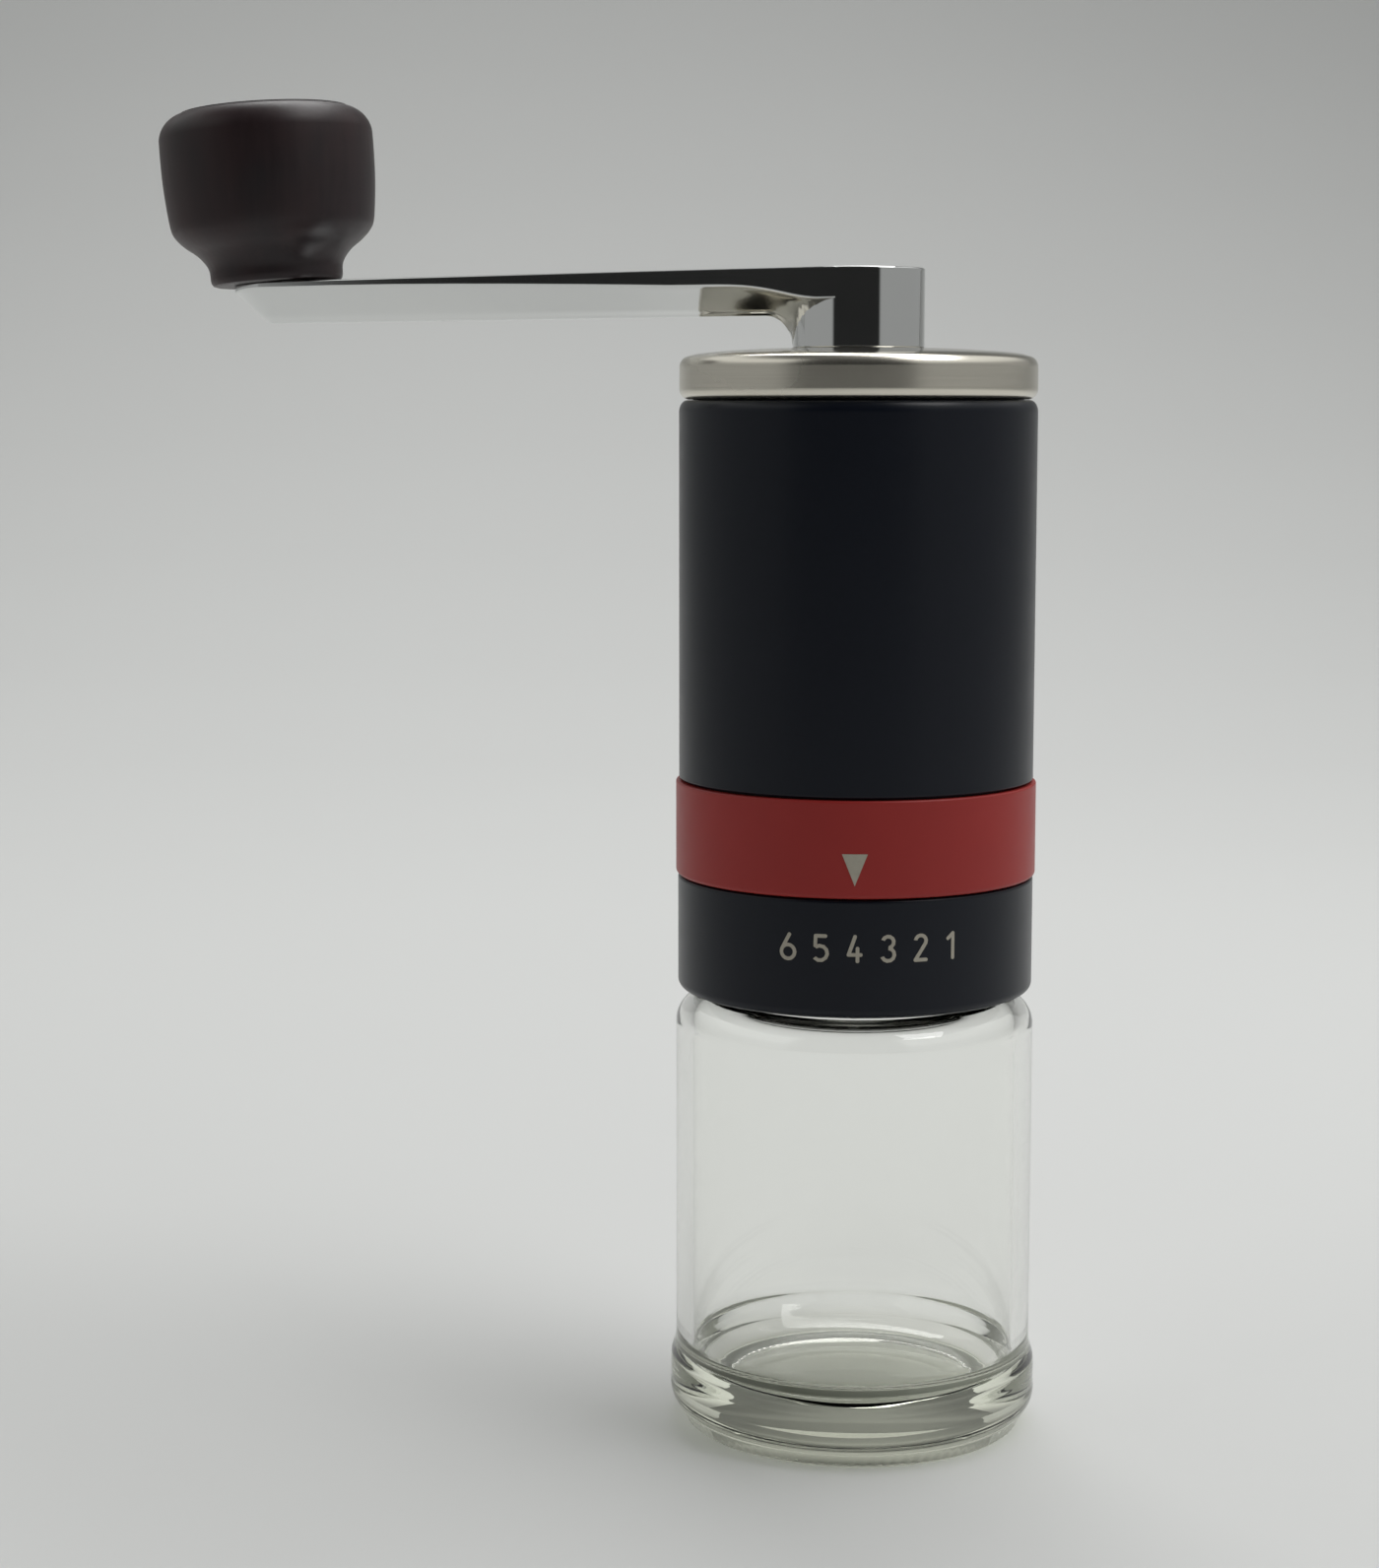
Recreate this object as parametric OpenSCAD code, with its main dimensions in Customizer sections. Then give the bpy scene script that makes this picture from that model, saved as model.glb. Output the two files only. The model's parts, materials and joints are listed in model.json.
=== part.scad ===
// Hand crank coffee grinder with a screw-on glass jar, a numbered grind dial and a lift-off crank lid.
// Millimetres, +Z up. The origin is the centre of the jar's bearing ring, on the surface it stands on.
// The dial pointer faces -Y.

/* [Body] */
// Diameter of the main tube
body_d = 52; // [50:0.5:54]
// Height of the top of the main tube
body_top = 151.8; // [148:0.2:153]
// Height of the joint between the index band and the main tube
band_top = 96.5; // [94:0.5:98]
// Height of the joint between the dial and the index band
dial_top = 82.7; // [82:0.1:83.5]
// Height of the lower edge of the dial
dial_bottom = 65.6; // [65.4:0.1:65.8]
// How far the index band stands out from the tube
band_proud = 0.45; // [0.3:0.05:0.5]

/* [Jar] */
// Diameter of the straight glass wall
jar_d = 52.9; // [52:0.1:54]
// Thickness of the glass wall
glass_t = 2.6; // [2:0.1:3]
// Height of the inside floor of the jar
floor_z = 7.2; // [7:0.2:9]
// Lead of the jar thread for one turn
jar_lead = 4; // [3:0.5:5]

/* [Dial] */
// Angle from one number to the next
number_step = 10.4; // [9:0.2:11]
// Height of a number
number_h = 4; // [3:0.1:4.4]
// Lead of the dial cam for one turn
dial_lead = 3; // [2:0.5:3.5]

/* [Lid and crank] */
// Height of the lid's crown
lid_top = 159.15; // [158.6:0.05:159.6]
// Height of the hub's flat top
hub_top = 170.6; // [170:0.1:171.4]
// Diameter of the crank hub
hub_d = 19.1; // [18:0.1:20]
// Distance from the grinder's axis to the knob's axis
crank_l = 92.5; // [85:0.5:100]
// Direction of the crank at rest, measured from +X
crank_angle = 165; // [0:5:355]
// Downward slope of the crank arm
arm_slope = 0.5; // [0:0.1:1]
// Lean of the knob's axis, outwards along the arm
knob_lean = 4; // [2:0.5:4.5]

/* [Knob] */
// Largest diameter of the wooden knob
knob_d = 32.6; // [30:0.2:34]
// Height of the wooden knob
knob_h = 26.9; // [25:0.1:28]

/* [Burrs] */
// Radial gap between the cones
burr_gap = 0.6; // [0.55:0.05:0.8]
// Number of coarse flutes on the inner burr
inner_flutes = 9; // [6:1:12]
// Number of flutes in the outer burr
outer_flutes = 18; // [12:1:24]

/* [Hidden] */

$fn = 96;
slip = 0.05;             // radial clearance of every running fit
cut = 0.01;              // how far a cutter overshoots a face that it opens
body_r = body_d / 2;
dial_r = body_r + 0.15;  // outside of the dial
tube_t = 1.2;            // wall of the main tube
core_r = body_r - tube_t;            // outside of the inner housing within the tube
skirt_r = 24;            // outside of the housing's skirt, on which the dial turns
hopper_r = 22.6;         // inside of the bean hopper
chamber_r = 18.6;        // inside of the burr chamber
thread_r = 21.9;         // major radius of the jar thread in the skirt
skirt_z = dial_bottom + 1.2;         // lower face of the skirt
gasket_z = 76;           // top of the jar's rim, under the gasket
gasket_t = 1.6;          // thickness of the gasket
shelf_z = gasket_z + gasket_t;       // ceiling that the gasket seals against
flare_h = 3;             // how far below the band's top the housing widens from the skirt to the tube
funnel_low = 99;         // start of the cone that feeds the burrs
funnel_high = 107;       // top of that cone
seam_h = 0.25;           // dark seam between band and tube
pin_z = 79.9;            // height of the cam pins
pin_r = 1;
slot_h = 3.2;            // height of the upright slots for the cam pins
slot_w = 2.1;            // width of those slots
groove_r = 25.1;         // bottom of the cam groove inside the dial
bridge_low = 109;        // underside of the lower bearing bridge
bridge_high = 136;       // underside of the upper bearing bridge
bridge_h = 5;            // height of a bridge
bridge_hub_r = 8.6;      // hub of a bridge
bearing_r = 6.6;         // outside of a bearing
shaft_r = 4;
hex_r = 3.95;            // corner radius of the shaft's hexagonal ends
hex_top = 156;           // top of the shaft
hex_from = 142;          // start of the upper hexagon
burr_low = 80.5;         // underside of the inner burr
burr_high = 97;          // top of the inner burr
burr_r_low = 14.6;       // radius of the inner burr's lower edge
burr_r_high = 7;         // radius of the inner burr's top
carrier_low = 78.6;      // underside of the burr carrier
carrier_high = 94.5;     // top of the burr carrier
carrier_r = chamber_r - slip;        // outside of the burr carrier
carrier_lip = 2.4;       // height of the lip under the outer burr
burr_seat_r = 17.2;      // outside of the outer burr
plug_r = 22.3;           // lid plug, inside the hopper mouth
plug_low = 144.5;        // underside of the lid plug
lid_low = body_top + 0.1;            // lower edge of the lid
lid_r = body_r - 0.05;
lid_t = 0.8;             // sheet of the lid shell
lid_foot = 1.95;         // width of the lid's thicker lower edge
lid_foot_h = 1.7;        // height of that edge
boss_r = 6.6;            // crank boss below the hub
clip_z = 143.4;          // underside of the hub clip
clip_t = 1;
socket_r = 5.2;          // outside of the drive socket
arm_end_r = 6.6;         // half width of the arm at the knob
arm_strip = 1;           // height of the arm's upright side strip
arm_bevel = 5.6;         // height of the bevel below it
seat_cut = 0.3;          // depth of the knob's seat below the arm's top, at the knob's axis
seat_z = hub_top - crank_l * sin(arm_slope) - seat_cut;
knob_gap = 0.15;         // running gap between the seat and the knob
knob_bore_r = 5.4;       // cavity in the knob for its bush and pin
knob_pin_r = 3;
knob_depth = 20;         // depth of that cavity
mark_t = 0.05;           // thickness of a printed mark
stroke = 0.52;           // line width of a number

// Points along an arc, from angle a to angle b, about [x, z].
function arc(x, z, r, a, b, n = 8) = [for (i = [0 : n]) [x + r * cos(a + (b - a) * i / n),
                                                          z + r * sin(a + (b - a) * i / n)]];

// A plain ring between two radii and two heights.
module ring(r_out, r_in, z0, z1) {
    translate([0, 0, z0])
        difference() {
            cylinder(r = r_out, h = z1 - z0);
            translate([0, 0, -cut]) cylinder(r = r_in, h = z1 - z0 + 2 * cut);
        }
}

// ---------- jar ----------
neck_r = 21;             // glass neck inside the skirt
neck_in_r = 18.4;        // mouth of the jar
heel_r = 27.3;           // widest part of the jar's foot
foot_r = 25;             // outer edge of the bearing ring
foot_in_r = 20;          // inner edge of the bearing ring
push_r = 19.4;           // disc pushed up under the base
push_up = 0.9;           // how far it is pushed up
shoulder_z = 64.4;       // top of the shoulder
shoulder_r = 4;          // rounding of the shoulder
shoulder_t = 1.8;        // thickness of the glass at the top of the shoulder
shoulder_in_r = 2.4;     // rounding inside the shoulder
corner_r = 19.6;         // edge of the flat inside floor
corner_h = 4.6;          // height of the cone between that floor and the wall

module glass_jar() {
    wall_r = jar_d / 2;
    in_r = wall_r - glass_t;
    ridge = 0.6;           // height of a thread ridge
    color([0.86, 0.92, 0.88, 0.4])
        rotate_extrude()
            polygon(concat(
                [[0, push_up], [push_r, push_up], [foot_in_r, 0], [foot_r, 0]],
                arc(heel_r - 4.2, 5, 4.2, -50, 10, 6),
                [[heel_r - 0.1, 9.8], [heel_r - 0.45, 11], [wall_r, 13]],
                arc(wall_r - shoulder_r, shoulder_z - shoulder_r, shoulder_r, 0, 84, 8),
                [[neck_r + 0.5, shoulder_z + 0.1], [neck_r, shoulder_z + 0.6]],
                [for (z = [67.6, 71.6])
                    each [[neck_r, z], [neck_r + ridge, z + 0.5],
                          [neck_r + ridge, z + 1.3], [neck_r, z + 1.8]]],
                arc(neck_r - 0.8, gasket_z - 0.8, 0.8, 0, 90, 4),
                arc(neck_in_r + 0.8, gasket_z - 0.8, 0.8, 90, 180, 4),
                [[neck_in_r, shoulder_z - shoulder_t + 0.6], [neck_in_r + 0.6, shoulder_z - shoulder_t]],
                arc(in_r - shoulder_in_r, shoulder_z - shoulder_t - shoulder_in_r, shoulder_in_r, 90, 0, 6),
                [[in_r, floor_z + corner_h + 0.4], [in_r - 0.3, floor_z + corner_h],
                 [corner_r, floor_z], [0, floor_z]]
            ));
}

module jar_gasket() {
    color("dimgray") ring(neck_r + 0.4, neck_in_r + 0.2, gasket_z, shelf_z);
}

// ---------- housing ----------
module inner_housing() {
    color([0.12, 0.12, 0.13])
        difference() {
            rotate_extrude()
                polygon([
                    [thread_r, skirt_z], [skirt_r, skirt_z], [skirt_r, band_top - flare_h],
                    [core_r, band_top - flare_h + 1], [core_r, body_top - 0.2], [core_r - 0.2, body_top],
                    [hopper_r + 0.6, body_top], [hopper_r, body_top - 0.6],
                    [hopper_r, funnel_high], [chamber_r, funnel_low],
                    [chamber_r, shelf_z], [thread_r, shelf_z]
                ]);
            for (a = [90 : 120 : 330])
                rotate([0, 0, a])
                    translate([chamber_r - 1, -slot_w / 2, pin_z - slot_h / 2])
                        cube([skirt_r - chamber_r + 2, slot_w, slot_h]);
        }
}

module body_tube() {
    low = band_top + seam_h;
    round_h = 1.7;         // height of the rounded top edge, which spans the whole wall
    color([0.1, 0.11, 0.12])
        rotate_extrude()
            polygon(concat(
                [[core_r, low], [body_r - 0.3, low], [body_r, low + 0.3]],
                [for (a = [0 : 15 : 90]) [core_r + tube_t * cos(a), body_top - round_h + round_h * sin(a)]]
            ));
}

// Blind hole in the band for the detent ball and its spring.
ball_r = 0.75;
detent_at = 25.1;        // radius of the detent circle
detent_z = dial_top + 0.6;           // centre of the ball
detent_top = dial_top + 6;

module index_band() {
    edge = body_r + band_proud;
    color([0.45, 0.12, 0.12])
        difference() {
            rotate_extrude()
                polygon(concat(
                    [[skirt_r, dial_top]],
                    arc(edge - 0.5, dial_top + 0.5, 0.5, -90, 0, 4),
                    arc(edge - 0.3, band_top - 0.3, 0.3, 0, 90, 3),
                    [[core_r, band_top], [core_r, band_top - flare_h + 1], [skirt_r, band_top - flare_h]]
                ));
            rotate([0, 0, 90])
                translate([detent_at, 0, dial_top - cut])
                    cylinder(r = ball_r + slip, h = detent_top - dial_top + cut, $fn = 24);
        }
}

module detent_ball() {
    color("silver")
        rotate([0, 0, 90]) translate([detent_at, 0, detent_z]) sphere(r = ball_r, $fn = 24);
}

module detent_spring() {
    color("gray")
        rotate([0, 0, 90])
            for (i = [0 : 4])
                translate([detent_at, 0, detent_z + ball_r + 0.1 + 0.85 * i])
                    ring(ball_r - slip, ball_r - 0.35, 0, 0.55);
}

// A flat shape wrapped on a cylinder of radius r that faces -Y, turned by angle a about +Z.
module wrapped(r, a) {
    rotate([0, 0, a])
        intersection() {
            ring(r + mark_t, r, dial_bottom, band_top);
            translate([0, -r + 3, 0])
                rotate([90, 0, 0])
                    linear_extrude(height = 6) children();
        }
}

module pointer_mark() {
    tip_z = 84.6;
    top_z = 89.1;
    half_w = 1.8;
    color([0.62, 0.57, 0.5])
        wrapped(body_r + band_proud, 0)
            polygon([[0, tip_z], [half_w, top_z], [-half_w, top_z]]);
}

module collar_retainer() {
    color("dimgray")
        difference() {
            ring(24.9, 22.3, dial_bottom + 0.2, skirt_z);
            for (a = [30 : 120 : 270])
                rotate([0, 0, a])
                    translate([23.1, 0, dial_bottom])
                        cylinder(r = 0.5, h = 2, $fn = 16);
        }
}

// Three small screws that hold the retainer to the skirt. They end at the skirt's face.
module retainer_screws() {
    color("silver")
        for (a = [30 : 120 : 270])
            rotate([0, 0, a])
                translate([23.1, 0, dial_bottom - 0.3])
                    union() {
                        cylinder(r = 0.8, h = 0.5, $fn = 16);
                        cylinder(r = 0.5, h = skirt_z - dial_bottom + 0.3, $fn = 16);
                    }
}

// A ring with three arms and a hub that holds a bearing.
module bridge(z) {
    difference() {
        union() {
            ring(hopper_r, hopper_r - 2, z, z + bridge_h);
            for (a = [30 : 120 : 270])
                rotate([0, 0, a])
                    translate([bearing_r, -2, z + 0.5])
                        cube([hopper_r - 1 - bearing_r, 4, bridge_h - 1]);
            translate([0, 0, z]) cylinder(r = bridge_hub_r, h = bridge_h);
        }
        translate([0, 0, z - cut]) cylinder(r = bearing_r, h = bridge_h + 2 * cut);
    }
}

module lower_bridge() { color([0.2, 0.2, 0.21]) bridge(bridge_low); }
module upper_bridge() { color([0.2, 0.2, 0.21]) bridge(bridge_high); }
module lower_bearing() { color("silver") ring(bearing_r, shaft_r + slip, bridge_low, bridge_low + bridge_h); }
module upper_bearing() { color("silver") ring(bearing_r, shaft_r + slip, bridge_high, bridge_high + bridge_h); }

// ---------- dial ----------
module dial_collar() {
    round_r = 1.2;
    color([0.1, 0.11, 0.12])
        difference() {
            rotate_extrude()
                polygon(concat(
                    [[skirt_r + 1.1, dial_bottom]],
                    arc(dial_r - round_r, dial_bottom + round_r, round_r, -90, 0, 6),
                    arc(dial_r - 0.4, dial_top - 0.6, 0.4, 0, 90, 3),
                    [[skirt_r + slip, dial_top - 0.2],
                     [skirt_r + slip, pin_z + slot_h / 2], [groove_r, pin_z + slot_h / 2],
                     [groove_r, pin_z - slot_h / 2], [skirt_r + slip, pin_z - slot_h / 2],
                     [skirt_r + slip, skirt_z + 0.2], [skirt_r + 1.1, skirt_z + 0.2]]
                ));
            // a detent dimple for each number
            for (i = [-3 : 2])
                rotate([0, 0, 90 + i * number_step])
                    translate([detent_at, 0, dial_top + 0.35])
                        sphere(r = ball_r, $fn = 24);
        }
}

// A straight stroke with round ends from p to q.
module bar(p, q) {
    d = q - p;
    translate(p) circle(d = stroke, $fn = 16);
    translate(q) circle(d = stroke, $fn = 16);
    translate(p) rotate(atan2(d[1], d[0])) translate([0, -stroke / 2]) square([norm(d), stroke]);
}

// A curved stroke about p, radius r at its middle, from angle a to b.
module bow(p, r, a, b) {
    n = 8;
    translate(p)
        polygon(concat(
            [for (i = [0 : n]) (r + stroke / 2) * [cos(a + (b - a) * i / n), sin(a + (b - a) * i / n)]],
            [for (i = [n : -1 : 0]) (r - stroke / 2) * [cos(a + (b - a) * i / n), sin(a + (b - a) * i / n)]]
        ));
}

// One number, drawn upright with its middle on x = 0 and its foot on y = 0.
module numeral(k) {
    h = number_h - stroke;
    w = 0.8;               // half width of the strokes' middle
    translate([0, stroke / 2]) {
        if (k == 1) {
            bar([0.3, 0], [0.3, h]);
            bar([0.3, h], [-0.5, h - 0.7]);
        }
        if (k == 2) {
            bow([0, h - w], w, -20, 170);
            bar([w * cos(-20), h - w + w * sin(-20)], [-w, 0]);
            bar([-w, 0], [w, 0]);
        }
        if (k == 3) {
            bow([0, h - w], w, -80, 160);
            bow([0, w + 0.1], w + 0.1, -160, 88);
        }
        if (k == 4) {
            bar([0.1, h], [-w, 0.9]);
            bar([-w, 0.9], [w + 0.1, 0.9]);
            bar([0.45, 0], [0.45, 1.8]);
        }
        if (k == 5) {
            bar([w - 0.1, h], [-w + 0.1, h]);
            bar([-w + 0.1, h], [-w + 0.05, h - 1.4]);
            bow([-0.08, 1.05], 1.05, -140, 130);
        }
        if (k == 6) {
            bow([0, 1], 1, 0, 180);
            bow([0, 1], 1, 180, 360);
            bar([-0.94, 1.35], [0.2, h]);
        }
    }
}

module dial_numerals() {
    foot_z = 73.7;
    color([0.75, 0.73, 0.68])
        for (k = [1 : 6])
            wrapped(dial_r, (4 - k) * number_step)
                translate([0, foot_z]) numeral(k);
}

// ---------- outer burr ----------
// Radius of the inner burr's cone at height z.
function cone_r(z) = burr_r_low + (burr_r_high - burr_r_low) * (z - burr_low) / (burr_high - burr_low);

module burr_carrier() {
    color([0.3, 0.3, 0.3])
        difference() {
            rotate_extrude()
                polygon([
                    [16.2, carrier_low], [carrier_r, carrier_low], [carrier_r, carrier_high],
                    [burr_seat_r, carrier_high], [burr_seat_r, carrier_low + carrier_lip],
                    [16.2, carrier_low + carrier_lip]
                ]);
            for (a = [90 : 120 : 330])
                rotate([0, 0, a])
                    translate([15, 0, pin_z])
                        rotate([0, 90, 0]) cylinder(r = pin_r, h = 6, $fn = 24);
        }
}

module carrier_pins() {
    color("silver")
        for (a = [90 : 120 : 330])
            rotate([0, 0, a])
                translate([16.6, 0, pin_z])
                    rotate([0, 90, 0]) cylinder(r = pin_r, h = 24.7 - 16.6, $fn = 24);
}

module outer_burr() {
    z0 = carrier_low + carrier_lip;
    z1 = carrier_high - 0.5;
    lean = atan2(burr_r_low - burr_r_high, burr_high - burr_low);
    color([0.93, 0.93, 0.9])
        difference() {
            rotate_extrude()
                polygon([
                    [cone_r(z0) + burr_gap, z0], [burr_seat_r, z0], [burr_seat_r, z1],
                    [cone_r(z1) + burr_gap + 1.5, z1], [cone_r(z1 - 3) + burr_gap, z1 - 3]
                ]);
            for (i = [0 : outer_flutes - 1])
                rotate([0, 0, i * 360 / outer_flutes])
                    translate([cone_r(z0) + burr_gap, 0, z0])
                        rotate([0, -lean, 0])
                            rotate([0, 0, 45])
                                cube([0.8, 0.8, 40], center = true);
        }
}

// ---------- shaft and inner burr ----------
module hex_bar(z0, z1, r) {
    translate([0, 0, z0]) cylinder(r = r, h = z1 - z0, $fn = 6);
}

module drive_shaft() {
    color("silver")
        union() {
            hex_bar(76.4, burr_high, hex_r);
            translate([0, 0, burr_high]) cylinder(r = shaft_r, h = hex_from - burr_high);
            hex_bar(hex_from, hex_top, hex_r);
        }
}

module shaft_sleeve() {
    color("gray") ring(5.8, shaft_r, burr_high, bridge_low - 0.3);
}

module inner_burr() {
    lean = atan2(burr_r_low - burr_r_high, burr_high - burr_low);
    color([0.95, 0.95, 0.92])
        difference() {
            translate([0, 0, burr_low])
                cylinder(r1 = burr_r_low, r2 = burr_r_high, h = burr_high - burr_low);
            hex_bar(burr_low - 1, burr_high + 1, hex_r);
            for (i = [0 : inner_flutes - 1])
                rotate([0, 0, i * 360 / inner_flutes])
                    translate([cone_r(burr_low), 0, burr_low])
                        rotate([0, -lean, 0])
                            rotate([0, 0, 45])
                                cube([1.8, 1.8, 50], center = true);
        }
}

module burr_washer() {
    color("silver")
        difference() {
            translate([0, 0, burr_low - 0.8]) cylinder(r = 8, h = 0.8);
            hex_bar(burr_low - 1, burr_low + 1, hex_r);
        }
}

module shaft_nut() {
    color("silver")
        difference() {
            hex_bar(burr_low - 3.8, burr_low - 0.8, 6.4);
            hex_bar(burr_low - 4, burr_low, hex_r);
        }
}

// ---------- lid ----------
module lid_shell() {
    edge_r = 1.6;
    side_top = lid_top - 0.95;
    color([0.75, 0.75, 0.74])
        rotate_extrude()
            polygon(concat(
                [[lid_r - lid_foot, lid_low]],
                arc(lid_r - 1.5, lid_low + 1.5, 1.5, -90, 0, 6),
                arc(lid_r - edge_r, side_top - edge_r, edge_r, 0, 60, 6),
                [[lid_r - 4.3, lid_top - 0.5], [16, lid_top - 0.1], [12, lid_top], [boss_r + 1.7, lid_top],
                 [boss_r + 1.7, lid_top - lid_t], [16, lid_top - 0.1 - lid_t],
                 [lid_r - 4.3, lid_top - 0.5 - lid_t], [lid_r - lid_t - 0.5, side_top - 1.4],
                 [lid_r - lid_t, side_top - 2.2], [lid_r - lid_t, lid_low + lid_foot_h + 0.8],
                 [lid_r - lid_foot, lid_low + lid_foot_h]]
            ));
}

module lid_plug() {
    seal_z = 147.6;
    color([0.15, 0.15, 0.16])
        rotate_extrude()
            polygon([
                [boss_r + 1.7, plug_low], [plug_r - 0.5, plug_low], [plug_r, plug_low + 0.5],
                [plug_r, seal_z - 0.8], [plug_r - 1.2, seal_z - 0.8],
                [plug_r - 1.2, seal_z + 0.8], [plug_r, seal_z + 0.8],
                [plug_r, body_top + 0.05], [lid_r - lid_foot, body_top + 0.05],
                [lid_r - lid_foot, lid_low + lid_foot_h], [boss_r + 1.7, lid_low + lid_foot_h]
            ]);
}

module lid_seal() {
    color([0.3, 0.3, 0.3])
        translate([0, 0, 147.6])
            rotate_extrude() translate([plug_r - 0.5, 0]) circle(r = 0.7, $fn = 24);
}

module hub_bush() {
    color("tan") ring(boss_r + 1.7, boss_r + slip, plug_low, lid_top + 0.3);
}

// ---------- crank ----------
// Moves its children from the arm's own axes to the grinder's: +X runs along the arm.
module on_arm() { rotate([0, 0, crank_angle]) children(); }

// One side of the arm: everything inside its upright strip and the 45 degree bevel below it.
// The side's upper edge runs from half_hub off the axis at the hub to half_end at the knob.
module arm_side(half_hub, half_end) {
    reach = 3;
    across = 3 * half_hub;
    low = arm_strip + arm_bevel;
    taper = asin((half_hub - half_end) / crank_l);
    rotate([0, 0, -taper])
        translate([-reach, half_hub, 0])
            rotate([90, 0, 90])
                linear_extrude(height = crank_l * cos(taper) + reach)
                    polygon([[0, 0], [0, -arm_strip], [-arm_bevel, -low], [-across, -low], [-across, 0]]);
}

module arm_blank() {
    hub_r = hub_d / 2;
    translate([0, 0, hub_top])
        rotate([0, arm_slope, 0]) {
            intersection() {
                arm_side(hub_r, arm_end_r);
                mirror([0, 1, 0]) arm_side(hub_r, arm_end_r);
            }
            translate([crank_l, 0, -arm_strip]) cylinder(r = arm_end_r, h = arm_strip);
            translate([crank_l, 0, -arm_strip - arm_bevel])
                cylinder(r1 = arm_end_r - arm_bevel, r2 = arm_end_r, h = arm_bevel);
        }
}

module crank_arm() {
    hub_r = hub_d / 2;
    color([0.8, 0.8, 0.8])
        difference() {
            union() {
                on_arm() arm_blank();
                translate([0, 0, lid_top + 0.3]) cylinder(r = hub_r, h = hub_top - lid_top - 0.3);
                translate([0, 0, clip_z - 0.2]) cylinder(r = boss_r, h = lid_top + 1 - clip_z);
            }
            translate([0, 0, clip_z - 1]) cylinder(r = socket_r, h = hex_top + 1.5 - clip_z);
            translate([0, 0, clip_z])
                difference() {
                    cylinder(r = boss_r + 1, h = clip_t);
                    translate([0, 0, -cut]) cylinder(r = boss_r - 0.6, h = clip_t + 2 * cut);
                }
            on_knob() translate([0, 0, -12]) cylinder(r = knob_pin_r, h = 20);
            // the knob's seat, square to its leaning axis
            on_knob() translate([0, 0, -knob_gap]) cylinder(r = 13, h = 5);
        }
}

module hub_socket() {
    color("gray")
        difference() {
            translate([0, 0, clip_z - 0.2]) cylinder(r = socket_r, h = hex_top + 0.7 - clip_z);
            hex_bar(clip_z - 1, hex_top + 0.3, hex_r + 0.1);
        }
}

module hub_clip() {
    color("silver")
        difference() {
            ring(boss_r + 2.4, boss_r - 0.6, clip_z, clip_z + clip_t);
            translate([0, -1.5, clip_z - 1]) cube([12, 3, 3]);
        }
}

// Moves its children onto the knob's leaning axis, with z = 0 at the knob's lower face.
module on_knob() {
    on_arm()
        translate([crank_l, 0, seat_z + knob_gap])
            rotate([0, knob_lean, 0]) children();
}

module knob_pin() {
    color("silver")
        on_knob()
            union() {
                translate([0, 0, -3]) cylinder(r = knob_pin_r, h = 17);
                translate([0, 0, 14]) cylinder(r = 4.6, h = 2.5);
            }
}

module knob_bush() {
    color("goldenrod")
        on_knob() ring(knob_bore_r, knob_pin_r + slip, 0.3, 13.7);
}

// ---------- knob ----------
module knob() {
    r = knob_d / 2;
    color([0.16, 0.1, 0.09])
        on_knob()
            rotate_extrude()
                polygon(concat(
                    [[knob_bore_r, 0]],
                    arc(9.35, 0.6, 0.6, -90, 0, 3),
                    [[10.15, 2.4], [10.7, 3.6]],
                    [[11.9, 4.9], [13.7, 6.3], [14.9, 7.6], [15.5, 8.8]],
                    [[15.95, 12], [16.2, 16]],
                    [[r, knob_h - 7.5]],
                    arc(r - 4.2, knob_h - 4.9, 4.2, 0, 80, 8),
                    [[6, knob_h - 0.15], [0, knob_h]],
                    [[0, knob_depth], [knob_bore_r, knob_depth]]
                ));
}

glass_jar();
jar_gasket();
inner_housing();
body_tube();
index_band();
pointer_mark();
collar_retainer();
retainer_screws();
lower_bridge();
lower_bearing();
upper_bridge();
upper_bearing();
detent_ball();
detent_spring();
dial_collar();
dial_numerals();
burr_carrier();
outer_burr();
carrier_pins();
drive_shaft();
shaft_sleeve();
inner_burr();
burr_washer();
shaft_nut();
lid_shell();
lid_plug();
lid_seal();
hub_bush();
crank_arm();
hub_socket();
hub_clip();
knob_pin();
knob();
knob_bush();
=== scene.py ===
import json
from functools import partial
from math import atan2, cos, exp, hypot, pi, radians, sin, sqrt

import bmesh
import bpy
from mathutils import Matrix, Vector


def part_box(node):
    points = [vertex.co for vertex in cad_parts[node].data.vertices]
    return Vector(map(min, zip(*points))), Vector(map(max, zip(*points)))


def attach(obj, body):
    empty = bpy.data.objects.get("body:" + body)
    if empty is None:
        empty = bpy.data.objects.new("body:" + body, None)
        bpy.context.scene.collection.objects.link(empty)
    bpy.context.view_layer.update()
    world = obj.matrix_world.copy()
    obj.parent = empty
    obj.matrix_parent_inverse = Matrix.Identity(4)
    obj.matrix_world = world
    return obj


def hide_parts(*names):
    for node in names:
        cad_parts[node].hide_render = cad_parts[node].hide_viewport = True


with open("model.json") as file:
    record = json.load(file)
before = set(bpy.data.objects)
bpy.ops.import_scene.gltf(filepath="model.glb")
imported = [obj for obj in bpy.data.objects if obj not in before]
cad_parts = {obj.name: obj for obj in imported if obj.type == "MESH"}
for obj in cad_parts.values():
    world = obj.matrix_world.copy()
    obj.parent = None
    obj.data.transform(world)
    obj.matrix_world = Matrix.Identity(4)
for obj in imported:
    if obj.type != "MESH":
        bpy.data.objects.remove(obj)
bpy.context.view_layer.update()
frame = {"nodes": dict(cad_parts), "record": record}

MM = 0.001


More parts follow.
